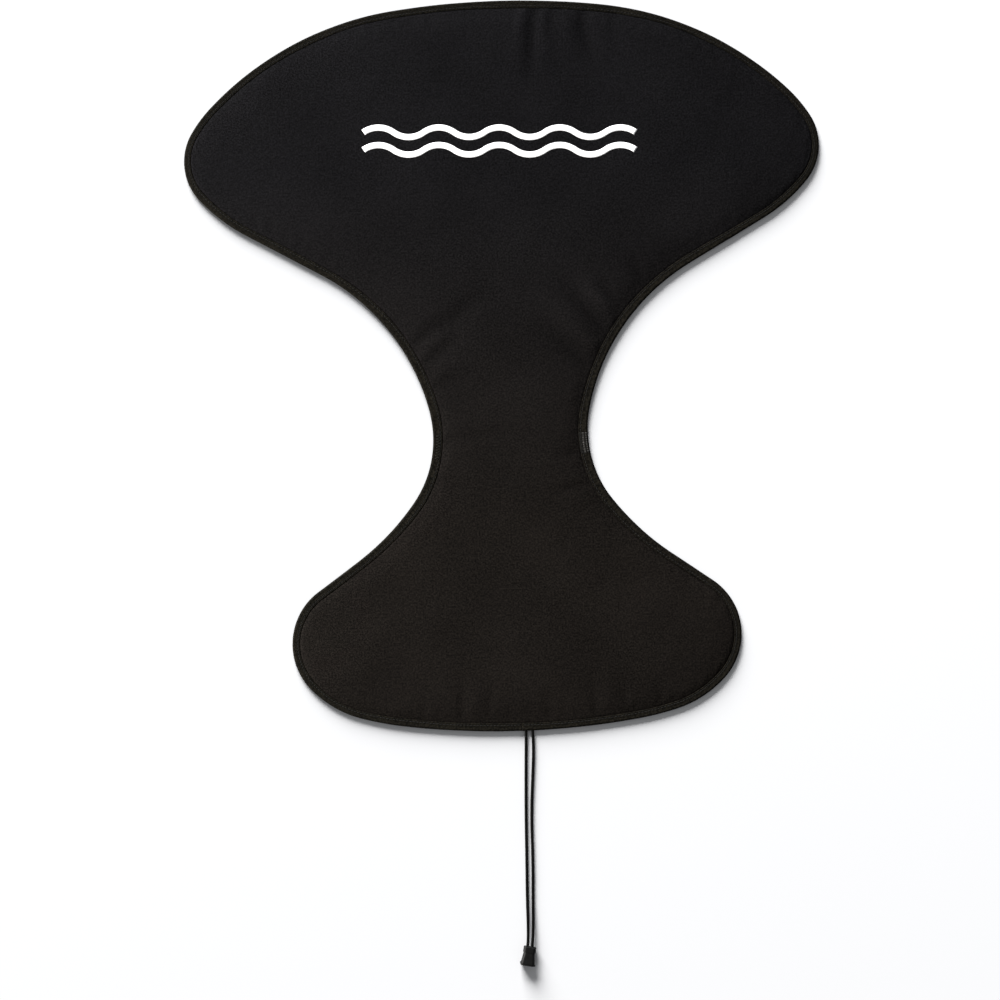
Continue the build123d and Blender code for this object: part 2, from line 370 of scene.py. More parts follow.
def make_panel(step, hidden, shares, inner):
    """A flat panel of the pad's outline: points, inset of each point, faces and points in a ring.
    Rings of quads follow the rim, and an even field of triangles fills the middle. The first rings
    are hidden that far under the binding, and the others are shares of the way to the inner one."""
    around = int(RIM_LENGTH / step)
    s = np.arange(around) / around * RIM_LENGTH
    edge = binding_width(s)
    insets = [edge - depth for depth in hidden]
    insets += [edge + share * (inner - edge) for share in shares]
    rings = [inset_points(s, d) for d in insets]
    flat = np.concatenate(rings)
    faces = [tuple(f) for f in ring_faces(len(rings), around)]
    border = rings[-1]
    low, high = border.min(0), border.max(0)
    rows = np.arange(low[1], high[1], step * 0.866)
    grid = []
    for i, y in enumerate(rows):
        xs = np.arange(low[0], high[0], step) + (step / 2 if i % 2 else 0)
        grid.append(np.stack([xs, np.full_like(xs, y)], -1))
    grid = np.concatenate(grid)
    tree = rim_tree()
    nearest = np.array([tree.find((x, y, 0))[2] for x, y in grid])
    half = np.interp(grid[:, 1], RIM_Y[: len(RIM_Y) // 2][::-1], RIM_X[: len(RIM_X) // 2][::-1])
    keep = (nearest > inner + 0.6 * step) & (np.abs(grid[:, 0]) < half)
    grid, nearest = grid[keep], nearest[keep]
    corners = [Vector(p) for p in np.concatenate([border, grid])]
    loop = [(i, (i + 1) % around) for i in range(around)]
    found, _, triangles, *_ = geometry.delaunay_2d_cdt(corners, loop, [list(range(around))], 1, 1e-7)
    found = np.array([tuple(v) for v in found])
    base = len(flat) - around
    faces += [tuple(base + i for i in t) for t in triangles]
    points = np.concatenate([flat[:base], found])
    return points, np.concatenate([*insets, nearest]), wind_up(faces, points), around


_tree = []


def rim_tree():
    """The rim's points, for finding how far a place is from the rim."""
    if not _tree:
        tree = kdtree.KDTree(len(RIM_S) // 2)
        for i, (x, y) in enumerate(zip(RIM_X[:-1:2], RIM_Y[:-1:2])):
            tree.insert((x, y, 0), i)
        tree.balance()
        _tree.append(tree)
    return _tree[0]


def crease_depth(x, y):
    """How far the creases push the face down. A crease widens, wanders and fades on its way inwards."""
    depth = np.zeros_like(x)
    for number, (start, end, width, deep) in enumerate(CREASES):
        start, end = np.array(start) * MM, np.array(end) * MM
        line = end - start
        along = np.clip(((x - start[0]) * line[0] + (y - start[1]) * line[1]) / (line @ line), -0.3, 1)
        wander = 1.3 * MM * np.sin(along * 4.2 + 2.4 * number) * np.clip(along, 0, 1)
        middle = start[:, None] + line[:, None] * along
        side = np.array([-line[1], line[0]]) / np.linalg.norm(line)
        away = np.hypot(x - middle[0] - wander * side[0], y - middle[1] - wander * side[1])
        spread_out = width * MM * (0.85 + 0.75 * np.clip(along, 0, 1))
        depth += deep * MM * np.exp(-((away / spread_out) ** 2)) * (1 - smoothstep((along - 0.2) / 0.8))
    return depth


def face_height(x, y, inset, edge):
    """Height of the face fabric's top: a steep shoulder at the binding, a slow swell towards the
    middle, unevenness that is smaller near the binding, and the creases."""
    reach = np.maximum(inset - edge, 0)
    shoulder = 1 - np.exp(-((reach / SHOULDER_REACH) ** 1.6))
    swell = 1 - np.exp(-reach / SWELL_REACH)
    groove = BINDING_TOP - GROOVE_DEPTH
    height = groove + SHOULDER_RISE * shoulder + (PAD_TOP - groove - SHOULDER_RISE) * swell
    calm = smoothstep(reach / EVEN_REACH)
    near = 1 - smoothstep((reach - 2 * MM) / (26 * MM))
    height += calm * 0.42 * MM * BROAD(x, y) + (0.35 + 0.65 * calm) * 0.14 * MM * MIDDLE(x, y)
    height += smoothstep(reach / (5 * MM)) * (0.035 * MM + 0.09 * MM * near) * FINE(x, y)
    height -= crease_depth(x, y) * smoothstep(reach / CREASE_REACH)
    return height


def close_layer(name, points, top, bottom, faces, around):
    """A closed layer between two heights over the same flat panel; the first ring is its edge."""
    n = len(points)
    upper = np.column_stack([points, top])
    lower = np.column_stack([points, bottom])
    ring = np.arange(around)
    after = (ring + 1) % around
    wall = [(after[i], ring[i], ring[i] + n, after[i] + n) for i in range(around)]
    flipped = [tuple(n + i for i in f[::-1]) for f in faces]
    uv = np.concatenate([points, points])
    return new_mesh(name, np.concatenate([upper, lower]), list(faces) + flipped + wall, uv)


def wind_up(faces, points):
    """Every face wound so that it faces up."""
    out = []
    for f in faces:
        a, b, c = (points[f[i]] for i in range(3))
        turn = (b[0] - a[0]) * (c[1] - a[1]) - (b[1] - a[1]) * (c[0] - a[0])
        out.append(tuple(f) if turn > 0 else tuple(f[::-1]))
    return out


def across_fold(piece):
    """The piece, with its place baked into its mesh."""
    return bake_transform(piece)


def stand_for(name):
    """The piece takes the place of a CAD node; a name that ends in _ stands for both halves."""
    halves = [name + "upper", name + "lower"] if name.endswith("_") else [name]
    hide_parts(*halves)


def walls_round(sheet, shift):
    """Quads between a sheet's border and its copy, whose points are numbered that much higher."""
    edges = {edge: None for face in sheet for edge in zip(face, face[1:] + face[:1])}
    return [(b, a, a + shift, b + shift) for a, b in edges if (b, a) not in edges]


# ---------------------------------------------------------------- materials


class Nodes:
    """A short way to write a material's nodes."""

    def __init__(self, name):
        self.material = bpy.data.materials.new(name)
        self.material.use_nodes = True
        self.tree = self.material.node_tree
        self.shader = self.tree.nodes["Principled BSDF"]

    def add(self, kind, inputs=None, **settings):
        node = self.tree.nodes.new(kind)
        for key, value in settings.items():
            setattr(node, key, value)
        for key, value in (inputs or {}).items():
            if isinstance(value, bpy.types.NodeSocket):
                self.tree.links.new(value, node.inputs[key])
            else:
                node.inputs[key].default_value = value
        return node

    def math(self, operation, a, b=0.0):
        return self.add("ShaderNodeMath", {0: a, 1: b}, operation=operation).outputs[0]

    def noise(self, vector, scale, detail=3.0, roughness=0.55):
        inputs = {"Vector": vector, "Scale": scale, "Detail": detail, "Roughness": roughness}
        return self.add("ShaderNodeTexNoise", inputs).outputs["Fac"]

    def mix(self, factor, dark, light):
        colours = {"Factor": factor, 6: (*dark, 1), 7: (*light, 1)}
        return self.add("ShaderNodeMix", colours, data_type="RGBA").outputs[2]

    def between(self, value, low, high, start=0.0, end=1.0):
        """The value's range from start to end, mapped to the range from low to high."""
        limits = {"From Min": start, "From Max": end, "To Min": low, "To Max": high}
        return self.add("ShaderNodeMapRange", {"Value": value, **limits}).outputs[0]

    def bump(self, height, strength, distance, normal=None):
        inputs = {"Height": height, "Strength": strength, "Distance": distance}
        if normal is not None:
            inputs["Normal"] = normal
        return self.add("ShaderNodeBump", inputs).outputs[0]

    def plug(self, **sockets):
        """Set or link the shader's sockets; _ stands for a space in their names."""
        for key, value in sockets.items():
            socket = self.shader.inputs[key.replace("_", " ")]
            if isinstance(value, bpy.types.NodeSocket):
                self.tree.links.new(value, socket)
            else:
                socket.default_value = value


def cloth_place(n):
    """Each point's place on its own cloth, in metres."""
    return n.add("ShaderNodeUVMap", uv_map="cloth").outputs[0]


def weave_height(n, place, pitch):
    """Plain weave: warp and weft threads that pass over and under each other."""
    split = n.add("ShaderNodeSeparateXYZ", {0: place})
    turns = 2 * math.pi / (2 * pitch)
    u = n.math("MULTIPLY", split.outputs[0], turns)
    v = n.math("MULTIPLY", split.outputs[1], turns)
    warp = n.math("ABSOLUTE", n.math("SINE", u))
    weft = n.math("ABSOLUTE", n.math("SINE", v))
    over = n.math("MULTIPLY", n.math("COSINE", u), n.math("COSINE", v))
    choose = n.between(over, 0.0, 1.0, -0.25, 0.25)
    one = n.math("MULTIPLY", warp, choose)
    two = n.math("MULTIPLY", weft, n.math("SUBTRACT", 1.0, choose))
    return n.math("ADD", one, two)


def spread(n, value, low=0.36, high=0.64):
    """A noise's narrow range stretched to 0 to 1."""
    return n.between(value, 0.0, 1.0, low, high)


def blend_tones(n, *parts):
    """The sum of (value, share) pairs."""
    total = None
    for value, share in parts:
        scaled = n.math("MULTIPLY", value, share)
        total = scaled if total is None else n.math("ADD", total, scaled)
    return total


def paint_crease_shade(n, tone):
    """Painted shade darkens the cloth in the creases' grooves, and a painted highlight makes it paler on
    their ridges.
    """
    pressed = n.add("ShaderNodeAttribute", attribute_name="pressed").outputs["Fac"]
    crease_shading = n.math("SUBTRACT", 1.0, n.math("MULTIPLY", pressed, CREASE_PAINTED_SHADE))
    return n.math("MULTIPLY", tone, crease_shading)


def paint_lobe_light(n, place, colour, lobe_light_tints):
    """Painted light: a cooler tint on the wide lobe, and a warmer, brighter tint on the narrow one."""
    height = n.add("ShaderNodeSeparateXYZ", {0: place}).outputs[1]
    lobe_light_tint = n.mix(spread(n, height, 0.2, -0.15), *lobe_light_tints)
    inputs = {"Factor": 1.0, 6: colour, 7: lobe_light_tint}
    return n.add("ShaderNodeMix", inputs, data_type="RGBA", blend_type="MULTIPLY").outputs[2]


def make_cloth(name, dark, light, pitch, roughness, weave_depth, lobe_light_tints=None):
    """Plain-woven cloth: the weave, threads of uneven tone, slubs and broad patches."""
    n = Nodes(name)
    place = cloth_place(n)
    weave = weave_height(n, place, pitch)
    thread = spread(n, n.noise(place, 0.9 / pitch, 2.0))
    grain = spread(n, n.noise(place, 600, 3.0, 0.7), 0.39, 0.61)
    slub = spread(n, n.noise(place, 190, 3.0, 0.6))
    broad = spread(n, n.noise(place, 11, 3.0, 0.5))
    tone = blend_tones(n, (weave, 0.12), (thread, 0.14), (grain, 0.56), (slub, 0.08), (broad, 0.1))
    if lobe_light_tints:
        # Painted shade in the creases' grooves and a painted highlight on their ridges.
        tone = paint_crease_shade(n, tone)
    colour = n.mix(n.math("POWER", tone, 1.4), dark, light)
    if lobe_light_tints:
        # Painted light: cooler on the wide lobe, warmer and brighter on the narrow one.
        colour = paint_lobe_light(n, place, colour, lobe_light_tints)
    n.plug(Base_Color=colour)
    n.plug(Roughness=n.between(grain, roughness - 0.07, roughness + 0.07))
    relief = blend_tones(n, (weave, 0.7), (thread, 0.3))
    n.plug(Normal=n.bump(relief, 0.8, weave_depth, n.bump(slub, 0.3, 0.1 * MM)))
    n.plug(Specular_IOR_Level=0.02)
    return n.material


def make_tape(name, dark, light):
    """Binding tape: ribs across the tape, uneven yarns and slight wear along it."""
    n = Nodes(name)
    place = cloth_place(n)
    split = n.add("ShaderNodeSeparateXYZ", {0: place})
    along = n.math("MULTIPLY", split.outputs[0], 2 * math.pi / (1.1 * MM))
    across = n.math("MULTIPLY", split.outputs[1], 2 * math.pi / (1.3 * MM))
    rib = n.math("ABSOLUTE", n.math("SINE", n.math("ADD", along, n.math("MULTIPLY", across, 0.5))))
    cross = n.math("ABSOLUTE", n.math("SINE", across))
    weave = blend_tones(n, (rib, 0.65), (cross, 0.35))
    yarn = spread(n, n.noise(place, 520, 4.0, 0.7), 0.42, 0.58)
    wear = spread(n, n.noise(place, 170, 4.0, 0.65))
    broad = spread(n, n.noise(place, 20, 3.0))
    tone = blend_tones(n, (weave, 0.16), (yarn, 0.52), (wear, 0.2), (broad, 0.12))
    n.plug(Base_Color=n.mix(n.math("POWER", tone, 1.6), dark, light))
    n.plug(Roughness=n.between(wear, 0.62, 0.78))
    n.plug(Normal=n.bump(weave, 0.7, 0.12 * MM, n.bump(yarn, 0.35, 0.15 * MM)))
    n.plug(Specular_IOR_Level=0.03)
    return n.material


def make_thread_material(name, dark, light):
    n = Nodes(name)
    place = n.add("ShaderNodeTexCoord").outputs["Object"]
    fibre = n.noise(place, 2600, 2.0)
    n.plug(Base_Color=n.mix(fibre, dark, light))
    n.plug(Roughness=n.between(fibre, 0.45, 0.65))
    n.plug(Normal=n.bump(fibre, 0.4, 0.08 * MM))
    n.plug(Specular_IOR_Level=0.12)
    return n.material


def make_braid_material():
    n = Nodes("braided_cord")
    place = n.add("ShaderNodeTexCoord").outputs["Object"]
    fleck = n.noise(place, 900, 3.0)
    n.plug(Base_Color=n.mix(fleck, (0.0004, 0.0004, 0.0004), (0.0028, 0.0028, 0.0026)))
    n.plug(Roughness=n.between(fleck, 0.85, 1.0))
    n.plug(Normal=n.bump(n.noise(place, 3000, 2.0), 0.4, 0.1 * MM))
    n.plug(Specular_IOR_Level=0.06)
    return n.material


def make_print_material():
    n = Nodes("print_ink")
    place = cloth_place(n)
    weave = weave_height(n, place, 0.55 * MM)
    patch = n.noise(place, 120, 4.0, 0.6)
    tone = n.math("ADD", n.math("MULTIPLY", weave, 0.35), n.math("MULTIPLY", patch, 0.65))
    n.plug(Base_Color=n.mix(tone, (0.83, 0.83, 0.825), (0.93, 0.93, 0.925)))
    n.plug(Roughness=n.between(patch, 0.42, 0.6))
    n.plug(Normal=n.bump(weave, 0.5, 0.05 * MM))
    return n.material


def make_plastic_material():
    n = Nodes("moulded_plastic")
    place = n.add("ShaderNodeTexCoord").outputs["Object"]
    grain = n.noise(place, 2400, 3.0, 0.6)
    wear = n.noise(place, 260, 4.0, 0.6)
    n.plug(Base_Color=n.mix(wear, (0.0008, 0.0008, 0.0008), (0.0042, 0.0042, 0.004)))
    n.plug(Roughness=n.between(wear, 0.42, 0.6))
    n.plug(Normal=n.bump(grain, 0.35, 0.08 * MM))
    n.plug(Specular_IOR_Level=0.14)
    return n.material


def make_foam_material():
    n = Nodes("foam")
    place = n.add("ShaderNodeTexCoord").outputs["Object"]
    cells = n.add("ShaderNodeTexVoronoi", {"Vector": place, "Scale": 900}).outputs["Distance"]
    n.plug(Base_Color=n.mix(cells, (0.03, 0.03, 0.032), (0.075, 0.075, 0.078)))
    n.plug(Roughness=n.between(cells, 0.8, 0.95))
    n.plug(Normal=n.bump(cells, 0.6, 0.3 * MM))
    return n.material


def woven_stripe(n, across, middle, half):
    """1 on a stripe of that half width, and 0 beside it."""
    away = n.math("ABSOLUTE", n.math("SUBTRACT", across, middle))
    return spread(n, away, half + 0.15 * MM, half - 0.15 * MM)


def make_label_material():
    """A blank woven label: dark ribs, with a pale dashed stripe and a thinner one beside it."""
    n = Nodes("woven_label")
    place = cloth_place(n)
    split = n.add("ShaderNodeSeparateXYZ", {0: place})
    weave = weave_height(n, place, 0.9 * MM)
    yarn = spread(n, n.noise(place, 900, 3.0, 0.7), 0.4, 0.6)
    along = n.math("MULTIPLY", split.outputs[0], math.pi / (1.1 * MM))
    dashes = spread(n, n.math("SINE", along), -0.4, 0.4)
    wide = woven_stripe(n, split.outputs[1], 4.1 * MM, 0.8 * MM)
    narrow = woven_stripe(n, split.outputs[1], 7.2 * MM, 0.45 * MM)
    broken = n.math("MULTIPLY", narrow, dashes)
    whole = n.math("MULTIPLY", wide, n.between(n.math("MULTIPLY", yarn, dashes), 0.25, 1.0))
    stripe = n.math("MAXIMUM", broken, whole)
    tone = blend_tones(n, (weave, 0.1), (yarn, 0.14), (stripe, 0.76))
    dark, light = (0.0008, 0.0008, 0.0006), (0.085, 0.083, 0.076)
    n.plug(Base_Color=n.mix(n.math("POWER", tone, 1.5), dark, light))
    n.plug(Roughness=n.between(yarn, 0.5, 0.7))
    n.plug(Normal=n.bump(weave, 0.6, 0.1 * MM))
    n.plug(Specular_IOR_Level=0.03)
    return n.material


def dress(piece, material):
    piece.data.materials.clear()
    piece.data.materials.append(material)


# ---------------------------------------------------------------- the pad's layers


def puff_cloth(points, faces, top, pinned):
    """The face's height after a cloth simulation: the foam presses it out, and its rim stays sewn down."""
    piece = new_mesh("face_before_sewing", np.column_stack([points, top]), faces)
    group = piece.vertex_groups.new(name="sewn")
    group.add([int(i) for i in np.flatnonzero(pinned)], 1.0, "REPLACE")
    cloth = piece.modifiers.new("cloth", "CLOTH")
    cloth.settings.quality = 5
    cloth.settings.mass = CLOTH_MASS
    cloth.settings.tension_stiffness = 8
    cloth.settings.compression_stiffness = 8
    cloth.settings.shear_stiffness = 4
    cloth.settings.bending_stiffness = 0.05
    cloth.settings.use_pressure = True
    cloth.settings.uniform_pressure_force = CLOTH_PRESSURE
    cloth.settings.vertex_group_mass = "sewn"
    cloth.settings.shrink_min = -CLOTH_SPARE
    cloth.settings.effector_weights.gravity = 0
    cloth.collision_settings.use_collision = False
    cloth.point_cache.frame_end = CLOTH_FRAMES
    for step in range(1, CLOTH_FRAMES + 1):
        bpy.context.scene.frame_set(step)
    final = piece.evaluated_get(bpy.context.evaluated_depsgraph_get()).to_mesh()
    height = np.zeros(len(final.vertices) * 3)
    final.vertices.foreach_get("co", height)
    bpy.data.objects.remove(piece)
    bpy.context.scene.frame_set(1)
    moved = height.reshape(-1, 3)[:, 2] - top
    return top + CLOTH_CAP * np.tanh(moved / CLOTH_CAP)


def make_face_fabric(material):
    """The pad's top layer, which carries the creases."""
    hidden = (SEAM_ALLOWANCE, SEAM_MIDDLE)
    points, inset, faces, around = make_panel(3.3 * MM, hidden, FACE_RINGS, RINGS_END)
    x, y = points.T
    edge = edge_width_at(points)
    top = face_height(x, y, inset, edge)
    top = puff_cloth(points, faces, top, inset < edge + 0.6 * MM)
    top = top + np.minimum(inset - edge, 0) * SEAM_SLOPE
    piece = close_layer("face_fabric", points, top, top - FABRIC, faces, around)
    # The creases' depth in mm, which sets the shade painted into the grooves and the highlight painted on
    # the ridges of the cloth.
    pressed = np.tile(crease_depth(x, y) / MM, 2).astype(np.float32)
    piece.data.attributes.new("pressed", "FLOAT", "POINT").data.foreach_set("value", pressed)
    dress(piece, material)
    stand_for("face_fabric_")
    across_fold(piece)
    return piece


def edge_width_at(points):
    """The binding's visible width at the rim's nearest place to each point."""
    tree = rim_tree()
    s = RIM_S[::2][np.array([tree.find((x, y, 0))[1] for x, y in points])]
    return binding_width(s)


def make_foam(material):
    """The padding between the face and the lining."""
    points, inset, faces, around = make_panel(7 * MM, (SEAM_ALLOWANCE,), FOAM_RINGS, FOAM_RINGS_END)
    x, y = points.T
    edge = edge_width_at(points)
    top = face_height(x, y, inset, edge) - FOAM_BELOW_FACE + np.minimum(inset - edge, 0) * SEAM_SLOPE
    bottom = np.minimum(FOAM_BOTTOM, top - 0.6 * MM)
    piece = close_layer("foam_sheet", points, top, bottom, faces, around)
    dress(piece, material)
    stand_for("foam_")
    return across_fold(piece)


def lining_height(x, y, inset, edge):
    """Height of the lining's outer face: it lies on the floor, and is drawn up under the binding."""
    reach = np.maximum(inset - edge, 0)
    drawn = np.exp(-reach / (5 * MM)) * 0.75 * MM
    ripple = (0.12 * MM + 0.05 * MM * FINE(x, y)) * (1 + MIDDLE(y, x)) * smoothstep(reach / (8 * MM))
    return 0.05 * MM + drawn + np.maximum(ripple, 0)


def make_lining(material):
    """The pad's back, one flat sheet that is stretched under the foam."""
    hidden = (SEAM_ALLOWANCE, SEAM_MIDDLE)
    points, inset, faces, around = make_panel(4.5 * MM, hidden, LINING_RINGS, RINGS_END)
    x, y = points.T
    bottom = lining_height(x, y, inset, edge_width_at(points))
    piece = close_layer("back_lining", points, bottom + LINING, bottom, faces, around)
    dress(piece, material)
    stand_for("back_lining_")
    return across_fold(piece)


# ---------------------------------------------------------------- binding, rim cord and stitches


def binding_profile(s):
    """The folded tape's section at each length along the rim: inset and height of each of its points."""
    edge = binding_width(s)
    stitch = edge - STITCH_FROM_EDGE
    phase = 2 * math.pi * s / STITCH_PITCH
    scallop = 0.10 * MM * np.cos(phase)
    wander = 0.12 * MM * np.sin(s / 0.031) + 0.08 * MM * np.sin(s / 0.0127)
    middle = BINDING_TOP / 2
    bulge = CORD_RADIUS + TAPE
    outer = []
    # Front wall, from the inner edge outwards.
    front = [
        (edge + scallop, -1.25 * MM, 0.0),
        (edge + scallop + 0.10 * MM, -0.85 * MM, 0.0),
        (edge + scallop, -0.48 * MM, 0.0),
        (edge - 0.35 * MM, -0.3 * MM, 0.2),
        (stitch + 1.1 * MM, -0.28 * MM, 0.4),
        (stitch + 0.55 * MM, -0.38 * MM, 0.9),
        (stitch, -0.5 * MM, 1.0),
        (stitch - 0.5 * MM, -0.38 * MM, 0.9),
        (stitch - 0.95 * MM, -0.24 * MM, 0.4),
    ]
    for inset, drop, pull in front:
        dip = 0.13 * MM * pull * (0.5 - 0.5 * np.cos(phase))
        outer.append((inset, BINDING_TOP + drop + wander * 0.5 - dip))
    valley = stitch - 1.15 * MM
    outer.append((valley, BINDING_TOP - 0.3 * MM + wander * 0.5))
    # Round the cord.
    for angle in np.radians([60, 84, 105, 130, 155, 180, 205, 230, 255, 276, 300]):
        lean = 0.12 * MM * np.sin(s / 0.0113 + angle)
        across = CORD_INSET + (bulge + lean * 0.4) * np.cos(angle)
        outer.append((across, middle + (bulge + lean * 0.3) * np.sin(angle)))
    # Back wall, from the cord to the inner edge.
    back = [(valley, 0.2 * MM), (stitch, 0.34 * MM), (edge - 0.3 * MM, 0.16 * MM), (edge, 0.35 * MM)]
    outer += [(inset, rise + 0.1 * MM) for inset, rise in back]
    # Inside of the fold, back to the start.
    outer += [(edge - 0.1 * MM, 0.8 * MM), (stitch - 0.1 * MM, 0.85 * MM)]
    room = CORD_RADIUS + 0.05 * MM
    for angle in np.radians([290, 240, 180, 120, 70]):
        outer.append((CORD_INSET + room * np.cos(angle), middle + room * np.sin(angle)))
    outer.append((stitch, BINDING_TOP - 1.15 * MM))
    inset, height = (np.stack([np.broadcast_to(p[k], s.shape) for p in outer], 1) for k in (0, 1))
    return inset, height


def rim_start():
    """The length along the rim where the tape's ends meet."""
    half = len(RIM_S) // 2
    window = slice(half - 200, half + 200)
    return float(np.interp(-TAPE_JOIN_X, -RIM_X[window], RIM_S[window]))


def make_binding(material):
    """One length of tape folded over the rim, all the way round to its own start."""
    gap = 0.08 * MM
    count = int(RIM_LENGTH / (STITCH_PITCH / 4))
    travel = np.linspace(gap / 2, RIM_LENGTH - gap / 2, count)
    s = rim_start() + travel
    inset, height = binding_profile(s)
    # The tape's last few millimetres are turned under, so both ends are a little thicker.
    turned = 5 * MM
    ends = np.exp(-travel / turned) + np.exp(-(RIM_LENGTH - travel) / turned)
    height = height + (ends * 0.35 * MM)[:, None] * (height > BINDING_TOP / 2)
    place, out = on_rim(s)
    rows, section = inset.shape
    flat = place[:, None, :] - out[:, None, :] * inset[:, :, None]
    points = np.concatenate([flat, height[:, :, None]], 2).reshape(-1, 3)
    run = lengths_along(np.stack([inset[0], height[0]], 1))
    uv = np.stack([np.repeat(travel, section), np.tile(run, rows)], 1)
    faces = [tuple(f) for f in ring_faces(rows, section)]
    faces.append(tuple(range(section))[::-1])
    faces.append(tuple(range((rows - 1) * section, rows * section)))
    piece = new_mesh("binding_tape", points, faces, uv)
    dress(piece, material)
    stand_for("binding_")
    return across_fold(piece)


def lengths_along(points):
    """The length along a line at each of its points."""
    return np.concatenate([[0], np.cumsum(np.linalg.norm(np.diff(points, axis=0), axis=1))])


def tube(centres, sides, radius):
    """Points and faces of a round tube along a line; radius is a number, or an array of rows by sides."""
    centres = np.asarray(centres, float)
    ahead = np.gradient(centres, axis=0)
    ahead /= np.linalg.norm(ahead, axis=1)[:, None]
    side = np.cross(ahead, np.array([0.0, 0.0, 1.0]))
    side /= np.linalg.norm(side, axis=1)[:, None]
    over = np.cross(side, ahead)
    angle = np.arange(sides) / sides * 2 * math.pi
    radius = np.broadcast_to(radius, (len(centres), sides))[:, :, None]
    points = centres[:, None] + radius * (
        side[:, None] * np.cos(angle)[None, :, None] + over[:, None] * np.sin(angle)[None, :, None]
    )
    faces = [tuple(f) for f in ring_faces(len(centres), sides)]
    faces.append(tuple(range(sides))[::-1])
    faces.append(tuple(range((len(centres) - 1) * sides, len(centres) * sides)))
    return points.reshape(-1, 3), faces


def make_rim_cord(material):
    """The draw cord inside the binding, all the way round but for a short gap beside its exit."""
    s = RIM_LENGTH / 2 + np.linspace(-CORD_ENDS[0], -RIM_LENGTH + CORD_ENDS[1], 900)
    flat = inset_points(s, np.full_like(s, CORD_INSET))
    centres = np.column_stack([flat, np.full(len(s), BINDING_TOP / 2)])
    points, faces = tube(centres, 10, CORD_RADIUS)
    piece = new_mesh("rim_draw_cord", points, faces)
    dress(piece, material)
    stand_for("rim_cord_")
    return across_fold(piece)


def make_stitches(name, node, material, top):
    """A row of lockstitches: each is a short thread that dips into the tape at both ends."""
    rng = np.random.default_rng(17 if top else 29)
    count = int((RIM_LENGTH - 2 * MM) / STITCH_PITCH - 0.2)
    start = rim_start() + 2.0 * MM
    rings, sides = 7, 6
    t = np.linspace(-1, 1, rings)
    points, faces = [], []
    for i in range(count):
        middle = start + (i + 0.5) * STITCH_PITCH
        s = middle + t * STITCH_LENGTH / 2
        inset = binding_width(s) - STITCH_FROM_EDGE + rng.normal(0, 0.05 * MM) + t * rng.normal(0, 0.07 * MM)
        flat = inset_points(s, inset)
        arch = 0.26 * MM - 0.52 * MM * np.abs(t) ** 4
        if top:
            height = BINDING_TOP - 0.5 * MM + arch
        else:
            height = 0.44 * MM - arch
        radius = STITCH_RADIUS * (1 - 0.35 * np.abs(t) ** 5)[:, None] * np.ones(sides)
        p, f = tube(np.column_stack([flat, height]), sides, radius)
        faces += [tuple(j + len(points) * rings * sides for j in face) for face in f]
        points.append(p)
    piece = new_mesh(name, np.concatenate(points), faces)
    dress(piece, material)
    stand_for(node)
    return across_fold(piece)


# ---------------------------------------------------------------- trims


def wave_line(side):
    """A row of equal arcs, as points and the direction across it."""
    chord = MARK_WIDTH / MARK_HALF_WAVES
    radius = chord / 2 / math.sin(MARK_SWING)
    points, normals = [], []
    for i in range(MARK_HALF_WAVES):
        up = 1 if i % 2 == 0 else -1
        for a in np.linspace(-MARK_SWING, MARK_SWING, 20, endpoint=i == MARK_HALF_WAVES - 1):
            x = (i + 0.5) * chord - MARK_WIDTH / 2 + radius * math.sin(a)
            y = side * MARK_SPACING / 2 + up * radius * (math.cos(a) - math.cos(MARK_SWING))
            points.append((x, y))
            normals.append((up * math.sin(a), math.cos(a)))
    return np.array(points), np.array(normals)


def make_mark(material, face):
    """The printed mark, a thin film that follows the face fabric."""
    columns = 6
    points, faces = [], []
    for side in (-1, 1):
        line, normal = wave_line(side)
        rows = np.linspace(-0.5, 0.5, columns + 1) * MARK_STROKE
        flat = line[None] + normal[None] * rows[:, None, None]
        base = sum(len(p) for p in points)
        row = len(line)
        for r in range(columns):
            for i in range(row - 1):
                a = base + r * row + i
                faces.append((a, a + 1, a + row + 1, a + row))
        points.append(flat.reshape(-1, 2))
    flat = np.concatenate(points)
    c, s = math.cos(MARK_TURN), math.sin(MARK_TURN)
    flat = flat @ np.array([[c, s], [-s, c]]) + np.array(MARK_CENTRE)
    above = BINDING_TOP + PAD_TOP
    height = np.array([face.ray_cast((x, y, above), (0, 0, -1))[1].z for x, y in flat])
    n = len(flat)
    upper = np.column_stack([flat, height + 0.16 * MM])
    lower = np.column_stack([flat, height - 0.1 * MM])
    under = [tuple(i + n for i in f[::-1]) for f in faces]
    faces += under + walls_round(faces, n)
    uv = np.concatenate([flat, flat])
    piece = new_mesh("printed_wave_mark", np.concatenate([upper, lower]), faces, uv)
    dress(piece, material)
    stand_for("printed_mark")
    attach(piece, "upper_pad")


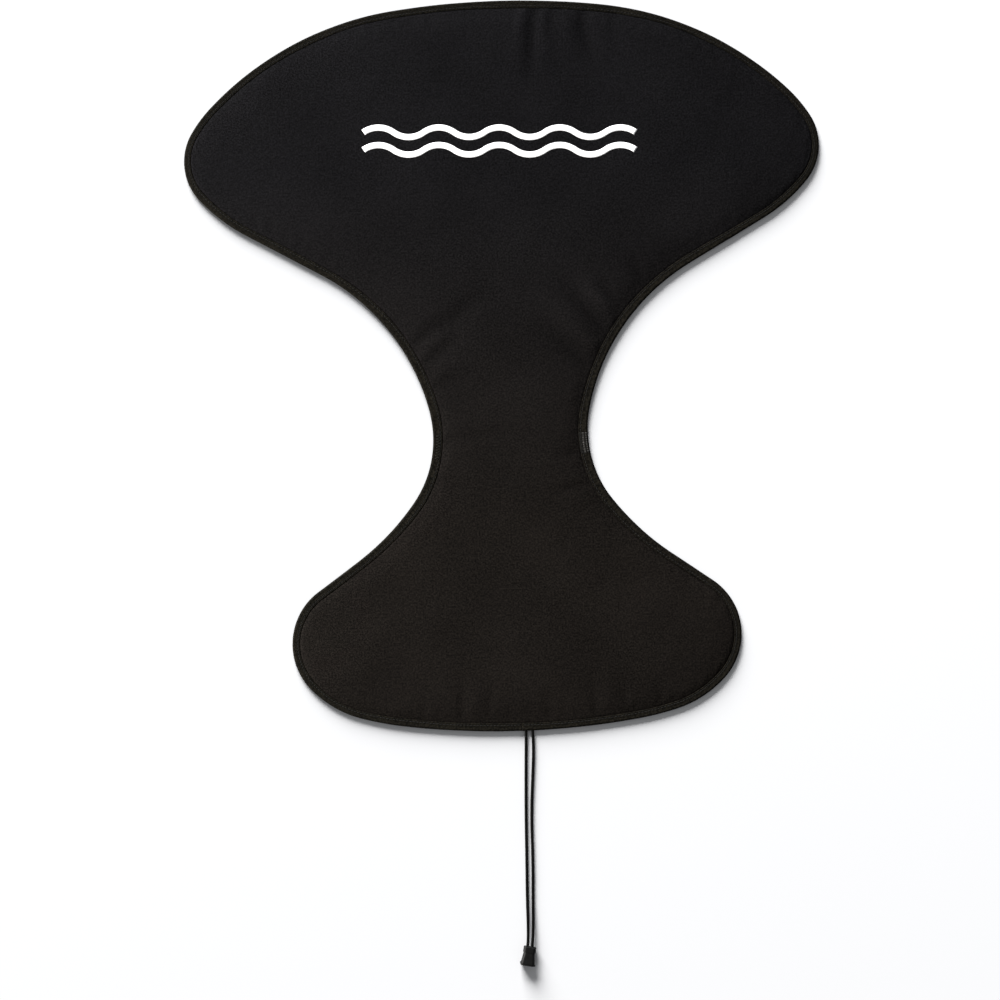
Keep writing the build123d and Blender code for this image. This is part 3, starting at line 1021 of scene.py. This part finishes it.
def make_side_label(material):
    """A small blank woven label, folded round the rim's edge over the binding."""
    low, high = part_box("side_label")
    half = len(RIM_S) // 2
    ends = [np.interp(-y, -RIM_Y[:half], RIM_S[:half]) for y in (high.y, low.y)]
    rows = 26
    s = np.linspace(*ends, rows)
    middle = BINDING_TOP / 2
    outer = CORD_RADIUS + TAPE + 0.16 * MM
    # The label's section: flat on the binding from its inner edge, then round the rim's edge.
    profile = [(9.3 * MM, BINDING_TOP - 0.4 * MM), (9.0 * MM, BINDING_TOP - 0.2 * MM)]
    profile += [(7.4 * MM, BINDING_TOP - 0.14 * MM), (5.6 * MM, BINDING_TOP - 0.1 * MM)]
    profile += [(4.0 * MM, BINDING_TOP - 0.08 * MM), (2.9 * MM, BINDING_TOP - 0.02 * MM)]
    flat_count = len(profile)
    for angle in np.radians([95, 115, 135, 155, 175, 192]):
        profile.append((CORD_INSET + outer * math.cos(angle), middle + outer * math.sin(angle)))
    profile = np.array(profile)
    run = lengths_along(profile)
    centre = np.array([CORD_INSET, middle])
    points, uv = [], []
    for layer in (0.0, 0.2 * MM):
        for i, t in enumerate(s):
            lift = 0.08 * MM * math.cos(i * 0.9) + 0.1 * MM * abs(i / 12.5 - 1) ** 3
            for j, (inset, height) in enumerate(profile):
                away = np.array([inset, height]) - centre
                away = np.array([0.0, 1.0]) if j < flat_count else away / np.linalg.norm(away)
                inset, height = np.array([inset, height]) + away * (lift * 0.5 - layer)
                x, y = inset_points(t, inset)
                points.append((x, y, height))
                uv.append((t - s[0], run[j]))
    columns = len(profile)
    sheet = []
    for i in range(rows - 1):
        for j in range(columns - 1):
            a = i * columns + j
            sheet.append((a, a + 1, a + columns + 1, a + columns))
    total = rows * columns
    faces = sheet + [tuple(i + total for i in f[::-1]) for f in sheet] + walls_round(sheet, total)
    piece = new_mesh("side_woven_label", points, faces, uv)
    dress(piece, material)
    stand_for("side_label")
    return across_fold(piece)


def make_bar_tack(material):
    """A dense zigzag of thread over the binding."""
    low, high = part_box("waist_bar_tack")
    half = len(RIM_S) // 2
    first, last = (RIM_LENGTH - np.interp(-y, -RIM_Y[:half], RIM_S[:half]) for y in (low.y, high.y))
    steps = 8
    share = np.arange(TACK_PASSES * steps) / steps
    swing = np.abs((share % 2) - 1) * 2 - 1
    s = first + (last - first) * share / TACK_PASSES
    inset = TACK_INSET + swing * TACK_HALF_WIDTH
    height = BINDING_TOP - 0.06 * MM - 0.4 * MM * np.abs(swing) ** 6
    points, faces = tube(np.column_stack([inset_points(s, inset), height]), 6, STITCH_RADIUS)
    piece = new_mesh("waist_bar_tack_thread", points, faces)
    dress(piece, material)
    stand_for("waist_bar_tack")
    return across_fold(piece)


# ---------------------------------------------------------------- the free cord


def route_line(name, route):
    """The smooth line of a cord's route."""
    curve = bpy.data.curves.new(name, "CURVE")
    curve.dimensions = "3D"
    curve.resolution_u = 40
    spline = curve.splines.new("NURBS")
    spline.points.add(len(route) - 1)
    for point, place in zip(spline.points, route):
        point.co = (*(v * MM for v in place), 1)
    spline.order_u = 3
    spline.use_endpoint_u = True
    line = bpy.data.objects.new(name, curve)
    mesh = bpy.data.meshes.new_from_object(line)
    points = np.array([v.co for v in mesh.vertices])
    bpy.data.objects.remove(line)
    return points


def evenly(points, step):
    """Points that are that step apart along a line, and the length along it at each."""
    along = lengths_along(points)
    at = np.linspace(0, along[-1], int(along[-1] / step))
    return np.stack([np.interp(at, along, points[:, k]) for k in range(3)], 1), at


def make_leg(name, node, route, material):
    """A braided elastic cord; the braid's strands are raised in the surface."""
    line, at = evenly(route_line(name + "_route", route), 0.55 * MM)
    sides = 20
    angle = np.arange(sides) / sides * 2 * math.pi
    turn = at[:, None] / BRAID_TURN * 2 * math.pi
    one = np.abs(np.sin(BRAID_STRANDS * (angle[None] + turn) / 2))
    two = np.abs(np.sin(BRAID_STRANDS * (angle[None] - turn) / 2))
    radius = LEG_DIAMETER / 2 - BRAID_RELIEF + BRAID_RELIEF * np.maximum(one, two) ** 0.7
    points, faces = tube(line, sides, radius)
    piece = new_mesh(name, points, faces)
    dress(piece, material)
    stand_for(node)
    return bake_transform(piece)


# ---------------------------------------------------------------- floor and light


def make_floor():
    n = Nodes("floor")
    n.plug(Roughness=0.9, Base_Color=(0.96, 0.96, 0.96, 1), Specular_IOR_Level=0.1)
    size = 6.0
    corners = [(-size, -size, 0), (size, -size, 0), (size, size, 0), (-size, size, 0)]
    floor = new_mesh("floor", corners, [(0, 1, 2, 3)], smooth=False)
    floor.location.z = -0.05 * MM
    dress(floor, n.material)
    return floor


def make_light(name, place, aim, size, power, colour):
    data = bpy.data.lights.new(name, "AREA")
    data.color = colour
    data.shape = "RECTANGLE"
    data.size, data.size_y = size
    data.energy = power
    light = bpy.data.objects.new(name, data)
    light.location = place
    light.rotation_euler = (Vector(aim) - Vector(place)).to_track_quat("-Z", "Y").to_euler()
    bpy.context.scene.collection.objects.link(light)
    return light


def make_lights(floor):
    scene = bpy.context.scene
    scene.view_settings.view_transform = "Standard"
    world = bpy.data.worlds.new("world")
    world.use_nodes = True
    background = world.node_tree.nodes["Background"]
    background.inputs["Color"].default_value = (0.95, 0.97, 1.0, 1)
    background.inputs["Strength"].default_value = 0.2
    scene.world = world
    aim = (0, -0.1, 0)
    make_light("key", (-6.4, 20.3, 7.4), aim, size=(12.2, 10.5), power=14900, colour=(0.99, 0.99, 1.0))
    fill = make_light("fill", (-1.85, -0.3, 0.72), aim, size=(1.0, 0.5), power=105, colour=(1.0, 0.97, 0.94))
    # The fill lights everything but the floor, so the floor keeps one even tone.
    unlit = bpy.data.collections.new("not_lit_by_fill")
    unlit.objects.link(floor)
    unlit.collection_objects[0].light_linking.link_state = "EXCLUDE"
    fill.light_linking.receiver_collection = unlit


# ---------------------------------------------------------------- build

make_camera()

face_cloth = make_cloth(
    "face_fabric",
    dark=(0.0004, 0.0004, 0.0004),
    light=(0.0112, 0.0107, 0.011),
    pitch=0.55 * MM,
    roughness=0.7,
    weave_depth=0.12 * MM,
    # Painted light tints: cooler on the wide lobe, warmer and brighter on the narrow one.
    lobe_light_tints=((0.96, 0.97, 1.05), (1.3, 1.13, 0.92)),
)
lining_cloth = make_cloth(
    "lining",
    dark=(0.004, 0.004, 0.0042),
    light=(0.016, 0.016, 0.0168),
    pitch=0.4 * MM,
    roughness=0.65,
    weave_depth=0.08 * MM,
)
tape = make_tape("binding_tape", (0.0002, 0.0002, 0.0001), (0.0142, 0.0124, 0.0087))
thread = make_thread_material("thread", (0.0025, 0.0025, 0.0025), (0.017, 0.017, 0.0165))
tack_thread = make_thread_material("bar_tack_thread", (0.001, 0.0011, 0.0008), (0.0145, 0.015, 0.0095))
braid = make_braid_material()
plastic = make_plastic_material()

make_leg("draw_cord_leg_left", "cord_leg_left", LEFT_LEG, braid)
make_leg("draw_cord_leg_right", "cord_leg_right", RIGHT_LEG, braid)

face = make_face_fabric(face_cloth)
make_foam(make_foam_material())
make_lining(lining_cloth)
make_binding(tape)
make_rim_cord(braid)
make_stitches("needle_stitches", "needle_thread_", thread, top=True)
make_stitches("bobbin_stitches", "bobbin_thread_", thread, top=False)
make_mark(make_print_material(), face)
make_side_label(make_label_material())
make_bar_tack(tack_thread)

for name in ("cord_end_body", "cord_end_lid"):
    dress(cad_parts[name], plastic)
dress(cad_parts["cord_knot"], braid)

make_lights(make_floor())
